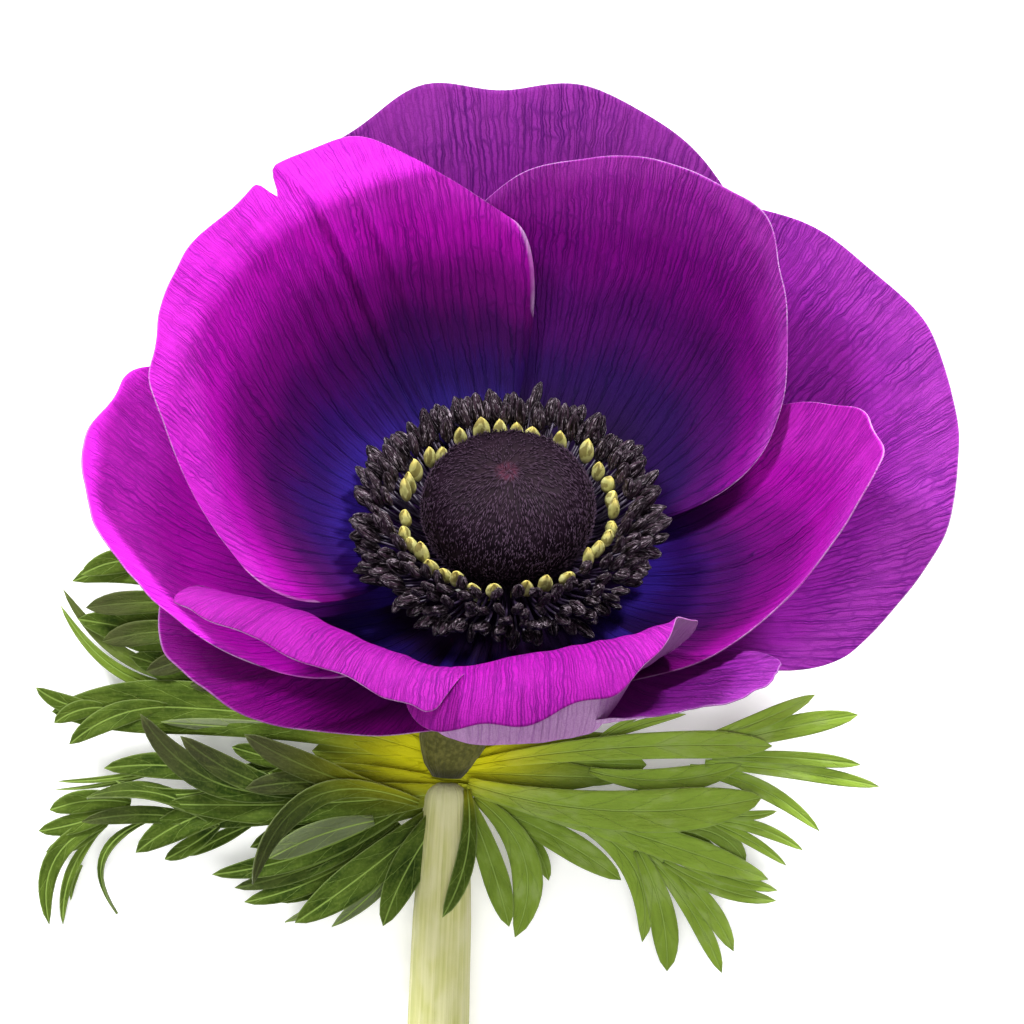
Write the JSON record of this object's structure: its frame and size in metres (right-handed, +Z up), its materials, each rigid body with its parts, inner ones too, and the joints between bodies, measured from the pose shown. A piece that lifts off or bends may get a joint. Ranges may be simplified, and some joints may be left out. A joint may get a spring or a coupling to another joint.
{
  "type": "anemone flower",
  "caption": "Cut purple anemone lying on its back: cupped petals in two whorls, dark stamen crown with pale inner anthers, hairy dome, divided green leaf collar, short stem.",
  "frame": {"origin": "centre of the bounding box at the level of the surface that the flower lies on", "axes": "+Z up, +Y from the cut end of the stem towards the flower head, +X to the right when looking down on the flower's face with the head end up"},
  "size_m": [0.0942, 0.1674, 0.0615],
  "materials": {
    "tepal_inner": "soft velvety violet, deep blue at the base, magenta towards the rim",
    "tepal_outer": "soft mauve violet with darker veins",
    "pistil": "matte, densely short-haired, near black purple",
    "filaments": "dark satin stalks",
    "anthers_pale": "satin pale yellow-green",
    "anthers_dark": "crinkled black-brown with fine glints",
    "bract": "downy mid green with pale veins",
    "stem": "satin pale green with faint lengthwise streaks"
  },
  "bodies": {
    "root": {"tepal_inner_left": "tepal_inner", "tepal_inner_upper_right": "tepal_inner", "tepal_inner_right": "tepal_inner", "tepal_inner_front": "tepal_inner", "tepal_inner_front_left": "tepal_inner", "tepal_outer_top": "tepal_outer", "tepal_outer_right": "tepal_outer", "tepal_outer_left": "tepal_outer", "tepal_outer_front_left": "tepal_outer", "tepal_outer_front_right": "tepal_outer", "pistil_dome": "pistil", "filament_whorl": "filaments", "anther_ring_pale": "anthers_pale", "anther_ring_upper": "anthers_dark", "anther_ring_middle": "anthers_dark", "anther_ring_lower": "anthers_dark", "bract_left": "bract", "bract_right": "bract", "bract_back": "bract", "stem": "stem"}
  },
  "joints": []
}
